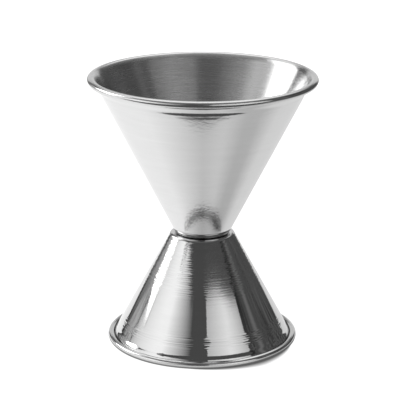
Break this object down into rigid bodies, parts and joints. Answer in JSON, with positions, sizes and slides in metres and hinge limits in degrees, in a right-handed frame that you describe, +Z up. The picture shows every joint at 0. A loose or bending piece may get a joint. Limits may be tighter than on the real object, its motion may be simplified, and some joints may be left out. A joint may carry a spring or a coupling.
{
  "type": "bar jigger",
  "caption": "Double-ended bar measure: a large and a small conical sheet-steel cup joined floor to floor, each with an outward curled rim.",
  "frame": {"origin": "centre of the small cup's rim, in the plane that the rim rests on", "axes": "+Z up along the common axis of both cups, from the small cup's mouth to the large cup's mouth"},
  "size_m": [0.066, 0.066, 0.079],
  "materials": {
    "large_cup_steel": "satin outside, brushed around the axis inside",
    "small_cup_steel": "polished, with fine turning marks",
    "weld_steel": "as welded"
  },
  "bodies": {
    "root": {"large_cup": "large_cup_steel", "small_cup": "small_cup_steel", "spot_weld": "weld_steel"}
  },
  "joints": []
}
